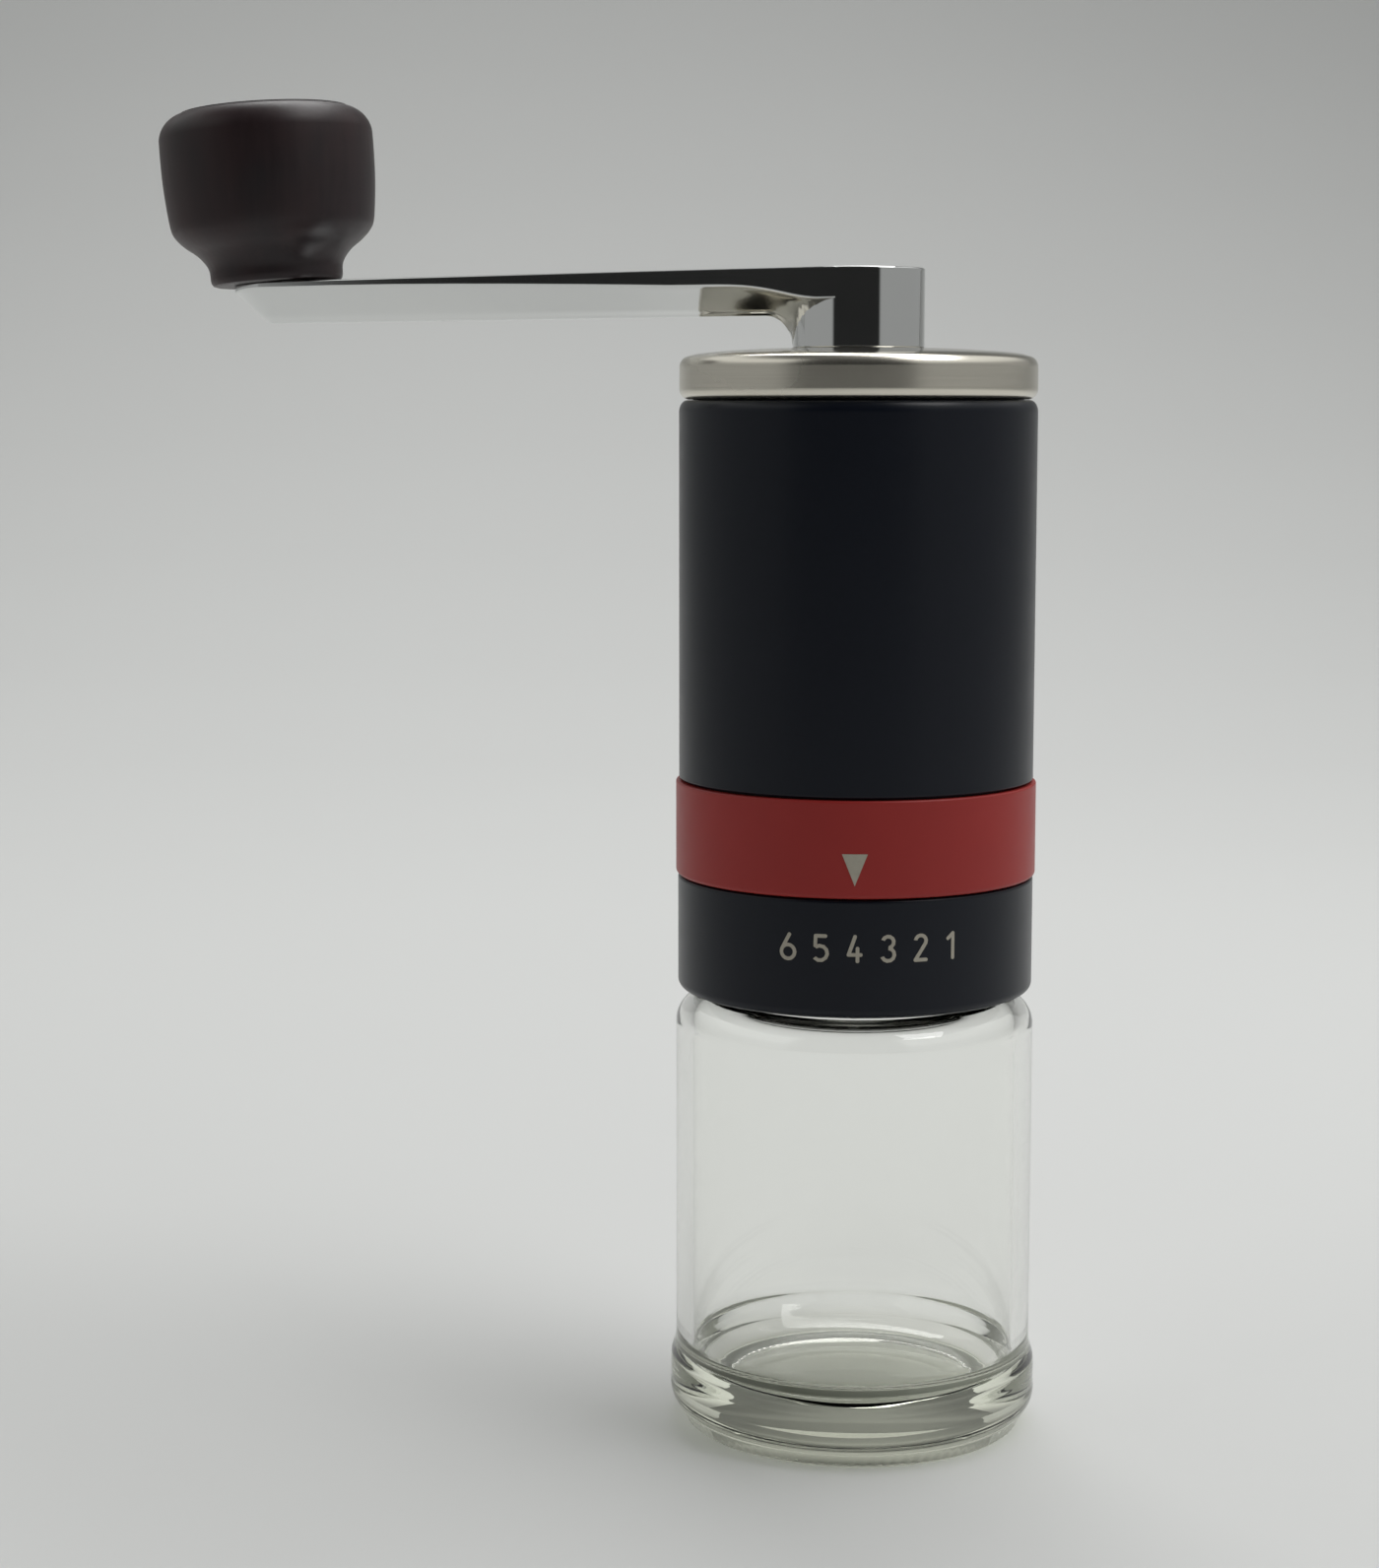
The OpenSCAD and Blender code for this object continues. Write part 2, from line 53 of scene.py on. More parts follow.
# ---------------------------------------------------------------- camera
# The frame's longer side and the fitted focal length in pixels, the sensor in mm, the angles in degrees.
LONG_SIDE_PX = 1592
FOCAL_PX = 3046
SENSOR = 36
EYE = (0, -439.7 * MM, 150.5 * MM)
PITCH_DOWN = 7.12
YAW = 3.19


def make_camera():
    data = bpy.data.cameras.new("camera")
    data.sensor_width = SENSOR
    data.lens = SENSOR * FOCAL_PX / LONG_SIDE_PX
    data.clip_start = 0.01
    data.clip_end = 20
    camera = bpy.data.objects.new("camera", data)
    camera.location = EYE
    camera.rotation_euler = (radians(90 - PITCH_DOWN), 0, radians(YAW))
    bpy.context.collection.objects.link(camera)
    bpy.context.scene.camera = camera


make_camera()


# ---------------------------------------------------------------- places, from the frame
def low(node):
    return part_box(node)[0]


def high(node):
    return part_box(node)[1]


def radius(node):
    return (high(node)[0] - low(node)[0]) / 2


JOINTS = {j["name"]: j for j in frame["record"]["behaviour"]["joints"]}
KNOB_AT = Vector(JOINTS["knob_spin"]["pos_m"])
KNOB_AXIS = Vector(JOINTS["knob_spin"]["axis"]).normalized()
CRANK_ANGLE = atan2(KNOB_AT.y, KNOB_AT.x)
CRANK_L = hypot(KNOB_AT.x, KNOB_AT.y)

BODY_R = radius("body_tube")
BODY_TOP = high("body_tube")[2]
BODY_LOW = low("body_tube")[2]
CORE_R = radius("inner_housing")
SKIRT_R = CORE_R - 0.8 * MM
BAND_R = radius("index_band")
BAND_TOP = high("index_band")[2]
BAND_LOW = low("index_band")[2]
DIAL_R = radius("dial_collar")
DIAL_TOP = high("dial_collar")[2]
DIAL_LOW = low("dial_collar")[2]
LID_R = radius("lid_shell")
LID_TOP = high("lid_shell")[2]
LID_LOW = low("lid_shell")[2]
HUB_TOP = high("crank_arm")[2]
HUB_R = 9.55 * MM
SEAT_GAP = 0.15 * MM
# A radius below this counts as lying on the axis.
ON_AXIS = 1e-7


# ---------------------------------------------------------------- mesh helpers
def arc(x, z, r, a, b, n):
    """Points (radius, height) along an arc about (x, z), from angle a to angle b in degrees, in n steps."""
    steps = [radians(a + (b - a) * i / n) for i in range(n + 1)]
    return [(x + r * cos(t), z + r * sin(t)) for t in steps]


def spline(points, n):
    """A smooth curve through the points, with n steps between each two."""
    out = []
    last = len(points) - 1
    for i in range(last):
        p0, p1 = points[max(i - 1, 0)], points[i]
        p2, p3 = points[i + 1], points[min(i + 2, last)]
        for k in range(n):
            t = k / n
            out.append(tuple(
                0.5 * (2 * p1[c] + (p2[c] - p0[c]) * t
                       + (2 * p0[c] - 5 * p1[c] + 4 * p2[c] - p3[c]) * t * t
                       + (3 * p1[c] - p0[c] - 3 * p2[c] + p3[c]) * t ** 3)
                for c in (0, 1)))
    return out + [tuple(points[last])]


def finish_mesh(name, mesh_maker, sharp=32):
    """Makes an object from a bmesh, smooth but for edges sharper than the given angle."""
    bmesh.ops.recalc_face_normals(mesh_maker, faces=mesh_maker.faces)
    for f in mesh_maker.faces:
        f.smooth = True
    for e in mesh_maker.edges:
        if len(e.link_faces) == 2 and e.calc_face_angle() > radians(sharp):
            e.smooth = False
    data = bpy.data.meshes.new(name)
    mesh_maker.to_mesh(data)
    mesh_maker.free()
    piece = bpy.data.objects.new(name, data)
    bpy.context.collection.objects.link(piece)
    return piece


def held_flat(outline):
    """The outline with points close to the ends of every long straight, so that its shading stays flat.

    An end gets one when the next straight there is less than a third as long.
    """
    long, close, share = 2 * MM, 0.05 * MM, 3
    lengths = [hypot(q[0] - p[0], q[1] - p[1]) for p, q in zip(outline, outline[1:])]
    out = [outline[0]]
    for i, length in enumerate(lengths):
        (r0, z0), (r1, z1) = outline[i], outline[i + 1]
        if length > long:
            if i > 0 and lengths[i - 1] < length / share:
                out.append((r0 + (r1 - r0) * close / length, z0 + (z1 - z0) * close / length))
            if i + 1 < len(lengths) and lengths[i + 1] < length / share:
                out.append((r1 + (r0 - r1) * close / length, z1 + (z0 - z1) * close / length))
        out.append((r1, z1))
    return out


def lathe(name, outline, turns=192, ripple=None):
    """Turns an outline of (r, z) points about +Z. One that starts and ends on the axis closes there.

    A ripple, given an angle and a height, adds to the radius.
    """
    outline = held_flat(outline)
    closed_on_axis = outline[0][0] < ON_AXIS
    bm = bmesh.new()
    rings = []
    for r, z in outline:
        if r < ON_AXIS:
            rings.append([bm.verts.new((0, 0, z))])
            continue
        ring = []
        for i in range(turns):
            t = 2 * pi * i / turns
            out = r + (ripple(t, z) if ripple else 0)
            ring.append(bm.verts.new((out * cos(t), out * sin(t), z)))
        rings.append(ring)
    pairs = list(zip(rings, rings[1:]))
    if not closed_on_axis:
        pairs.append((rings[-1], rings[0]))
    for a, b in pairs:
        for i in range(turns):
            j = (i + 1) % turns
            if len(a) == 1:
                bm.faces.new((a[0], b[j], b[i]))
            elif len(b) == 1:
                bm.faces.new((a[i], a[j], b[0]))
            else:
                bm.faces.new((a[i], a[j], b[j], b[i]))
    return finish_mesh(name, bm)


def place(piece, body, slot, material, *nodes):
    """Dresses a piece, sets it on its body and hides the CAD nodes it replaces."""
    piece.data.materials.append(material)
    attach(piece, body)
    if nodes:
        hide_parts(*nodes)
    return piece


# ---------------------------------------------------------------- materials
def math_node(tree, operation, *sources):
    """A math node fed by numbers and sockets."""
    node = tree.nodes.new("ShaderNodeMath")
    node.operation = operation
    for i, source in enumerate(sources):
        if isinstance(source, (int, float)):
            node.inputs[i].default_value = source
        else:
            tree.links.new(source, node.inputs[i])
    return node.outputs[0]


def smooth_node(tree, source, start, stop, most=1.0):
    """Goes smoothly from 0 where the source is at start to most where it is at stop."""
    node = tree.nodes.new("ShaderNodeMapRange")
    node.interpolation_type = "SMOOTHSTEP"
    node.inputs["From Min"].default_value = start
    node.inputs["From Max"].default_value = stop
    node.inputs["To Max"].default_value = most
    tree.links.new(source, node.inputs["Value"])
    return node.outputs["Result"]


class Nodes:
    """A short way to write a material's node tree."""

    def __init__(self, name):
        self.material = bpy.data.materials.new(name)
        self.material.use_nodes = True
        self.tree = self.material.node_tree
        self.bsdf = self.tree.nodes["Principled BSDF"]
        self.coords = self.add("ShaderNodeTexCoord").outputs["Object"]

    def add(self, kind, **settings):
        n = self.tree.nodes.new(kind)
        for key, value in settings.items():
            setattr(n, key, value)
        return n

    def link(self, source, target):
        self.tree.links.new(source, target)

    def put(self, **values):
        for key, value in values.items():
            self.bsdf.inputs[key.replace("_", " ")].default_value = value

    def stretch(self, scale, source=None):
        m = self.add("ShaderNodeMapping")
        m.inputs["Scale"].default_value = scale
        self.link(source or self.coords, m.inputs["Vector"])
        return m.outputs["Vector"]

    def math(self, operation, *sources):
        return math_node(self.tree, operation, *sources)

    def by_height(self, start, stop, most=1.0):
        """Goes smoothly from 0 at the height start to most at the height stop."""
        parts = self.add("ShaderNodeSeparateXYZ")
        self.link(self.coords, parts.inputs[0])
        return smooth_node(self.tree, parts.outputs["Z"], start, stop, most)

    def round_the_axis(self, across, up, along):
        """Coordinates (radius, height, angle), so that a stretched noise runs round the axis."""
        parts = self.add("ShaderNodeSeparateXYZ")
        self.link(self.coords, parts.inputs[0])
        flat = self.add("ShaderNodeCombineXYZ")
        self.link(parts.outputs["X"], flat.inputs["X"])
        self.link(parts.outputs["Y"], flat.inputs["Y"])
        length = self.add("ShaderNodeVectorMath", operation="LENGTH")
        self.link(flat.outputs[0], length.inputs[0])
        turn = self.math("ARCTAN2", parts.outputs["Y"], parts.outputs["X"])
        both = self.add("ShaderNodeCombineXYZ")
        self.link(length.outputs["Value"], both.inputs["X"])
        self.link(parts.outputs["Z"], both.inputs["Y"])
        self.link(turn, both.inputs["Z"])
        return self.stretch((across, up, along), both.outputs[0])

    def noise(self, vector, scale, detail, rough=0.5):
        n = self.add("ShaderNodeTexNoise")
        n.inputs["Scale"].default_value = scale
        n.inputs["Detail"].default_value = detail
        n.inputs["Roughness"].default_value = rough
        self.link(vector, n.inputs["Vector"])
        return n.outputs["Fac"]

    def ramp(self, source, *stops):
        r = self.add("ShaderNodeValToRGB")
        marks = r.color_ramp.elements
        while len(marks) < len(stops):
            marks.new(0.5)
        for mark, (at, colour) in zip(marks, stops):
            mark.position = at
            mark.color = (*colour, 1)
        self.link(source, r.inputs["Fac"])
        return r.outputs["Color"]

    def between(self, source, a, b):
        m = self.add("ShaderNodeMapRange")
        m.inputs["To Min"].default_value = a
        m.inputs["To Max"].default_value = b
        self.link(source, m.inputs["Value"])
        return m.outputs["Result"]

    def mix(self, factor, a, b):
        m = self.add("ShaderNodeMix", data_type="RGBA")
        self.link(factor, m.inputs["Factor"])
        for source, target in ((a, m.inputs[6]), (b, m.inputs[7])):
            if isinstance(source, tuple):
                target.default_value = (*source, 1)
            else:
                self.link(source, target)
        return m.outputs[2]

    def bump(self, height, distance, strength, under=None):
        """Bumps the surface, on top of another bump if one is given as under."""
        b = self.add("ShaderNodeBump")
        b.inputs["Distance"].default_value = distance
        b.inputs["Strength"].default_value = strength
        self.link(height, b.inputs["Height"])
        if under is not None:
            self.link(under, b.inputs["Normal"])
        self.link(b.outputs[0], self.bsdf.inputs["Normal"])
        return b.outputs[0]

    def set_from(self, source, name):
        self.link(source, self.bsdf.inputs[name])


def grey(v):
    return (v, v, v)


def satin_coat(name, colour, tint, rough_low, rough_high, shine):
    """Powder coat or anodised satin: fine orange peel, faint cloudiness, a few hairline marks."""
    n = Nodes(name)
    cloud = n.noise(n.coords, 90, 5, 0.6)
    n.set_from(n.mix(cloud, colour, tint), "Base Color")
    n.set_from(n.between(n.noise(n.coords, 260, 3), rough_low, rough_high), "Roughness")
    n.put(Specular_IOR_Level=shine)
    peel = n.bump(n.noise(n.coords, 2600, 2), 0.006 * MM, 0.6)
    n.bump(n.noise(n.round_the_axis(300, 9000, 0.4), 1, 2), 0.002 * MM, 0.35, peel)
    return n.material


def brushed_steel(name, light, dark):
    """Steel brushed round the axis, on the side and more finely on the crown."""
    rough_low, rough_high = 0.20, 0.32
    crown_from, crown_full = LID_TOP - 1.7 * MM, LID_TOP - 0.8 * MM
    crown_rough = -0.13
    n = Nodes(name)
    lines = n.noise(n.round_the_axis(5000, 5000, 1.5), 1, 3, 0.7)
    soft = n.noise(n.coords, 60, 3)
    n.set_from(n.mix(lines, dark, light), "Base Color")
    crown = n.by_height(crown_from, crown_full, crown_rough)
    n.set_from(n.math("ADD", crown, n.between(soft, rough_low, rough_high)), "Roughness")
    n.put(Metallic=1.0)
    n.bump(lines, 0.003 * MM, 0.5)
    return n.material


def polished_chrome(name):
    n = Nodes(name)
    haze = n.noise(n.coords, 45, 4, 0.6)
    scratches = n.noise(n.stretch((6000, 500, 6000)), 1, 2, 0.6)
    n.set_from(n.mix(haze, (0.68, 0.69, 0.685), (0.76, 0.765, 0.755)), "Base Color")
    n.set_from(n.between(haze, 0.03, 0.11), "Roughness")
    n.put(Metallic=1.0)
    n.bump(scratches, 0.0006 * MM, 0.25)
    return n.material


def dark_wood(name):
    """Dark stained turned wood: faint upright fibres, a redder cast, satin lacquer, a rubbed crown."""
    top = high("knob")[2]
    n = Nodes(name)
    fibre = n.noise(n.stretch((900, 900, 90)), 1, 5, 0.6)
    pores = n.noise(n.stretch((2600, 2600, 260)), 1, 3, 0.5)
    cast = n.noise(n.stretch((55, 55, 30)), 1, 3, 0.5)
    base = n.ramp(fibre, (0.3, (0.0085, 0.0062, 0.0080)), (0.52, (0.0120, 0.0085, 0.0105)),
                  (0.75, (0.0175, 0.0118, 0.0132)))
    warm = n.mix(n.ramp(cast, (0.40, grey(0.0)), (0.62, grey(0.75))), base, (0.030, 0.0115, 0.0125))
    rub = n.ramp(n.noise(n.stretch((420, 1500, 420)), 1, 5, 0.7), (0.40, grey(0.15)), (0.66, grey(0.9)))
    crown = n.math("MULTIPLY", n.by_height(top - 2.6 * MM, top - 0.8 * MM), rub)
    n.set_from(n.mix(crown, warm, (0.034, 0.031, 0.032)), "Base Color")
    n.set_from(n.between(fibre, 0.36, 0.54), "Roughness")
    n.put(Coat_Weight=0.1, Coat_Roughness=0.35, Specular_IOR_Level=0.3)
    grain = n.bump(fibre, 0.012 * MM, 0.3)
    worn = n.bump(rub, 0.02 * MM, 0.25, grain)
    n.bump(n.ramp(pores, (0.3, grey(0.35)), (0.42, grey(1.0))), 0.008 * MM, 0.3, worn)
    return n.material


def clear_glass(name):
    """Clear pressed glass, stippled under its foot, with a darker foot: partly the tint of thick glass,
    partly painted shade for the shadow under the jar. Lamps shine through it.
    """
    colour, foot_tint_and_painted_shade, shadow_tint = (0.995, 0.998, 0.99), (0.87, 0.865, 0.835), (0.70, 0.71, 0.68, 1)
    depth_tint, density = (0.62, 0.65, 0.46, 1), 14
    stipple_from, stipple_full, stipple_rough = 0.7 * MM, 0.3 * MM, 0.32
    darker_below, plain_above = 5 * MM, 9 * MM
    n = Nodes(name)
    n.put(Base_Color=(*colour, 1), Roughness=0.0, IOR=1.5, Transmission_Weight=1.0)
    # Painted shade: the glass colour is darker in the foot, partly the tint of thick glass and partly
    # standing in for the shadow under the jar.
    n.set_from(n.mix(n.by_height(darker_below, plain_above), foot_tint_and_painted_shade, colour), "Base Color")
    stipple = n.by_height(stipple_from, stipple_full, stipple_rough)
    n.set_from(n.math("ADD", stipple, n.between(n.noise(n.coords, 300, 2), 0.0, 0.01)), "Roughness")
    n.bump(n.noise(n.coords, 55, 2, 0.4), 0.05 * MM, 0.3)
    # Shadow rays pass straight through with a tint, so that lamps light what is behind the glass.
    out = n.tree.nodes["Material Output"]
    through = n.add("ShaderNodeBsdfTransparent")
    through.inputs["Color"].default_value = shadow_tint
    path = n.add("ShaderNodeLightPath")
    either = n.add("ShaderNodeMixShader")
    n.link(path.outputs["Is Shadow Ray"], either.inputs["Fac"])
    n.link(n.bsdf.outputs[0], either.inputs[1])
    n.link(through.outputs[0], either.inputs[2])
    n.link(either.outputs[0], out.inputs["Surface"])
    tint = n.add("ShaderNodeVolumeAbsorption")
    tint.inputs["Color"].default_value = depth_tint
    tint.inputs["Density"].default_value = density
    n.link(tint.outputs[0], out.inputs["Volume"])
    return n.material


def moulded(name, colour, lighter, rough=0.55):
    n = Nodes(name)
    n.set_from(n.mix(n.noise(n.coords, 120, 4), colour, lighter), "Base Color")
    n.set_from(n.between(n.noise(n.coords, 700, 2), rough - 0.06, rough + 0.06), "Roughness")
    n.bump(n.noise(n.coords, 3500, 2), 0.01 * MM, 0.5)
    return n.material


def turned_metal(name, light, dark, rough=0.28):
    n = Nodes(name)
    rings = n.noise(n.round_the_axis(5000, 5000, 0.6), 1, 3, 0.6)
    n.set_from(n.mix(rings, dark, light), "Base Color")
    n.set_from(n.between(rings, rough - 0.05, rough + 0.08), "Roughness")
    n.put(Metallic=1.0)
    n.bump(rings, 0.004 * MM, 0.4)
    return n.material


def fired_ceramic(name):
    n = Nodes(name)
    n.set_from(n.mix(n.noise(n.coords, 220, 5), (0.78, 0.76, 0.71), (0.88, 0.87, 0.83)), "Base Color")
    n.set_from(n.between(n.noise(n.coords, 500, 2), 0.38, 0.52), "Roughness")
    n.bump(n.noise(n.coords, 4200, 3), 0.012 * MM, 0.5)
    return n.material


def print_ink(name):
    n = Nodes(name)
    n.set_from(n.mix(n.noise(n.coords, 1500, 3), (0.36, 0.33, 0.27), (0.46, 0.43, 0.36)), "Base Color")
    n.set_from(n.between(n.noise(n.coords, 2500, 2), 0.5, 0.7), "Roughness")
    n.bump(n.noise(n.coords, 6000, 2), 0.004 * MM, 0.4)
    return n.material


BLACK = satin_coat("black_coat", (0.0030, 0.0046, 0.0100), (0.0046, 0.0066, 0.0126), 0.29, 0.36, 0.25)
RED = satin_coat("red_coat", (0.29, 0.0215, 0.0190), (0.345, 0.0260, 0.0230), 0.36, 0.44, 0.3)
STEEL_LID = brushed_steel("lid_brushed_steel", (0.76, 0.725, 0.64), (0.60, 0.565, 0.49))
CHROME = polished_chrome("arm_polished_chrome")
WOOD = dark_wood("knob_dark_wood")
GLASS = clear_glass("jar_clear_glass")
RUBBER = moulded("gasket_silicone", (0.035, 0.024, 0.018), (0.055, 0.038, 0.028), 0.6)
PLASTIC = moulded("inner_black_plastic", (0.012, 0.012, 0.013), (0.02, 0.02, 0.021))
INK = print_ink("printed_mark")
STEEL = turned_metal("turned_steel", (0.6, 0.6, 0.59), (0.42, 0.42, 0.415))
ALUMINIUM = turned_metal("turned_aluminium", (0.72, 0.72, 0.72), (0.55, 0.55, 0.55), 0.33)
BRASS = turned_metal("turned_brass", (0.72, 0.52, 0.24), (0.52, 0.36, 0.15))
CERAMIC = fired_ceramic("burr_ceramic")

BY_SLOT = {
    "black_paint": BLACK, "red_paint": RED, "lid_steel": STEEL_LID, "arm_chrome": CHROME,
    "knob_wood": WOOD, "jar_glass": GLASS, "gasket_rubber": RUBBER, "inner_plastic": PLASTIC,
    "print_ink": INK, "steel": STEEL, "carrier_aluminium": ALUMINIUM, "bush_brass": BRASS,
    "burr_ceramic": CERAMIC,
}


def dress_nodes():
    """Gives every CAD node the material of its slot."""
    for part in frame["record"]["subparts"]:
        data = frame["nodes"][part["node"]].data
        data.materials.clear()
        data.materials.append(BY_SLOT[part["material_slot"]])


dress_nodes()


# ---------------------------------------------------------------- housing and dial
def make_body_tube():
    wall = BODY_R - CORE_R
    rim_h = 1.7 * MM
    low_edge = 0.35 * MM
    rim_steps = [radians(90 * i / 12) for i in range(13)]
    outline = (
        [(CORE_R, BODY_LOW)]
        + arc(BODY_R - low_edge, BODY_LOW + low_edge, low_edge, -90, 0, 6)
        + [(CORE_R + wall * cos(t), BODY_TOP - rim_h * (1 - sin(t))) for t in rim_steps])
    place(lathe("main_tube", outline), "housing", "black_paint", BLACK, "body_tube")


def make_index_band():
    low_edge = 0.6 * MM
    top_edge = 0.3 * MM
    # Inside, the bore widens from the skirt to the core in a slope just below the top.
    slope_top, slope_low = BAND_TOP - 2 * MM, BAND_TOP - 3 * MM
    outline = (
        [(SKIRT_R, BAND_LOW)]
        + arc(BAND_R - low_edge, BAND_LOW + low_edge, low_edge, -90, 0, 8)
        + arc(BAND_R - top_edge, BAND_TOP - top_edge, top_edge, 0, 90, 6)
        + [(CORE_R, BAND_TOP), (CORE_R, slope_top), (SKIRT_R, slope_low)])
    place(lathe("red_band", outline), "housing", "red_paint", RED, "index_band")


def make_dial():
    low_edge = 1.3 * MM
    top_edge = 0.4 * MM
    inner = SKIRT_R + 0.05 * MM
    step_r = SKIRT_R + 1.1 * MM
    step_z = DIAL_LOW + 1.4 * MM
    outline = (
        [(step_r, DIAL_LOW)]
        + arc(DIAL_R - low_edge, DIAL_LOW + low_edge, low_edge, -90, 0, 12)
        + arc(DIAL_R - top_edge, DIAL_TOP - top_edge, top_edge, 0, 90, 6)
        + [(inner, DIAL_TOP), (inner, step_z), (step_r, step_z)])
    place(lathe("dial_ring", outline), "dial", "black_paint", BLACK, "dial_collar")


make_body_tube()
make_index_band()
make_dial()


# ---------------------------------------------------------------- lid
def make_lid():
    """A pressed cap: a rolled foot, an upright side, a rounded shoulder and a nearly flat crown."""
    sheet = 0.8 * MM
    foot = 1.5 * MM
    foot_in = LID_R - 1.95 * MM
    shoulder = 1.7 * MM
    side_top = LID_TOP - 0.95 * MM
    crown_r, crown_z = LID_R - 4.4 * MM, LID_TOP - 0.5 * MM
    flat_r, flat_z = 16 * MM, LID_TOP - 0.1 * MM
    hole = radius("hub_bush")
    top = (
        arc(LID_R - foot, LID_LOW + foot, foot, -90, 0, 14)
        + arc(LID_R - shoulder, side_top - shoulder, shoulder, 0, 62, 10)
        + spline([(LID_R - 2.2 * MM, LID_TOP - 0.78 * MM), (crown_r, crown_z),
                  (flat_r, flat_z), (12 * MM, LID_TOP), (hole, LID_TOP)], 6))
    under = [(hole, LID_TOP - sheet), (flat_r, flat_z - sheet), (crown_r, crown_z - sheet),
             (LID_R - sheet, side_top - 2.4 * MM), (LID_R - sheet, LID_LOW + 2.5 * MM),
             (foot_in, LID_LOW + 1.7 * MM), (foot_in, LID_LOW)]
    place(lathe("lid_cap", top + under), "lid", "lid_steel", STEEL_LID, "lid_shell")


make_lid()


# ---------------------------------------------------------------- crank
def make_arm():
    """The arm as a stack of plan outlines, each with an inset from the widest and a depth below the top."""
    slope = radians(0.5)
    end_r, end_reach, reach_share = 6.6 * MM, 6.5 * MM, 0.86
    strip, bevel, bevel_steps = 1.0 * MM, 5.6 * MM, 8
    soft, keel_soft = 0.18 * MM, 0.8 * MM
    below_hub_top, inside_hub = 0.02 * MM, 0.015 * MM
    # The side strip is deeper towards the hub: by strip_more, which fades out over strip_fades up to
    # strip_end from the axis, and by root_more close to it. The keel falls in a fillet round the hub. It
    # rises by end_rise towards the end, where the strip's lower edge dips by tip_dip.
    strip_more, strip_end, strip_fades, strip_curve = 1.3 * MM, 78 * MM, 53 * MM, 1.5
    root_more, root_from, root_fades = 2.2 * MM, 3 * MM, 8 * MM
    fillet_from, fillet_to, fillet_drop = 13.6 * MM, 9.62 * MM, 4.7 * MM
    end_rise, tip_dip = 0.45 * MM, 0.7 * MM
    tip_steps = 32
    seat_r = 12 * MM

    # Each level: inset, depth, and 0 for the top, 1 for the lower edge of the side strip, 2 for the keel.
    section = [(0.5 * MM, 0, 0), (soft, 0, 0), (0.05 * MM, 0.05 * MM, 0), (0, soft, 0),
               (0, soft + 0.05 * MM, 0.05), (0, strip - 0.17 * MM, 0.95), (0, strip - 0.12 * MM, 1),
               (0.04 * MM, strip, 1), (0.14 * MM, strip + 0.12 * MM, 1), (0.20 * MM, strip + 0.18 * MM, 1)]
    section += [(bevel * k / bevel_steps, strip + bevel * k / bevel_steps, 1 + k / bevel_steps)
                for k in range(1, bevel_steps)]
    section += [(bevel - 0.06 * MM, strip + bevel - 0.31 * MM, 2), (bevel, strip + bevel - 0.25 * MM, 2),
                (bevel + keel_soft / 2, strip + bevel, 2)]

    # Close together where the fillet is, further apart along the rest.
    stations = [k * 0.25 * MM for k in range(56)]
    stations += [a * MM for a in (14.3, 14.8, 15.4, 16.2, 17, 18, 20, 23, 26, 32, 40, 50, 60, 70, 80)]

    def extra_drop(x, level, y=0.0):
        """How much further than its depth a level reaches down at (x, y), measured from the hub's axis."""
        taper = min(max((strip_end - x) / strip_fades, 0), 1)
        root = exp(-(max(x - root_from, 0) / root_fades) ** 2)
        side = strip_more * taper ** strip_curve + root_more * root
        into = min(max((fillet_from - hypot(x, y)) / (fillet_from - fillet_to), 0), 1)
        keel = fillet_drop * (1 - sqrt(1 - into ** 2))
        if level <= 1:
            return side * level
        return side * (2 - level) + keel * (level - 1)

    def outline(inset, depth, level):
        reach = end_reach - inset * reach_share
        tip_drop = tip_dip * min(level, 2 - level)
        r_end = max(end_r - inset, 0.5 * MM)
        half = HUB_R - inside_hub - inset
        rise = end_rise * max(level - 1, 0)

        def beside(x, side):
            y = half - (half - r_end) * x / CRANK_L
            return x, side * y, -depth - extra_drop(x, level, y) + rise * x / CRANK_L

        points = [beside(x, -1) for x in stations]
        for i in range(tip_steps + 1):
            t = -pi / 2 + pi * i / tip_steps
            drop = extra_drop(CRANK_L, level) + tip_drop * cos(t) ** 2
            points.append((CRANK_L + reach * cos(t), r_end * sin(t), -depth - drop + rise))
        return points + [beside(x, 1) for x in reversed(stations)]

    bm = bmesh.new()
    rings = [[bm.verts.new(p) for p in outline(*s)] for s in section]
    for a, b in zip(rings, rings[1:]):
        for i in range(len(a)):
            j = (i + 1) % len(a)
            bm.faces.new((a[i], a[j], b[j], b[i]))
    for ring in (rings[0], rings[-1]):
        count = len(ring)
        for i in range(count // 2 - 1):
            quad = (ring[i], ring[i + 1], ring[count - 2 - i], ring[count - 1 - i])
            bm.faces.new(tuple(dict.fromkeys(quad)))
    turn = (Matrix.Translation((0, 0, HUB_TOP - below_hub_top)) @ Matrix.Rotation(CRANK_ANGLE, 4, "Z")
            @ Matrix.Rotation(slope, 4, "Y"))
    bmesh.ops.transform(bm, matrix=turn, verts=bm.verts)
    # The knob's seat: the end of the top is cut square to the knob's leaning axis.
    seat = KNOB_AT - KNOB_AXIS * SEAT_GAP
    for v in bm.verts:
        above = (v.co - seat).dot(KNOB_AXIS)
        from_axis = hypot(v.co.x - seat.x, v.co.y - seat.y)
        if above > 0 and from_axis < seat_r:
            v.co.z -= above / KNOB_AXIS.z
    return finish_mesh("crank_lever", bm, 28)


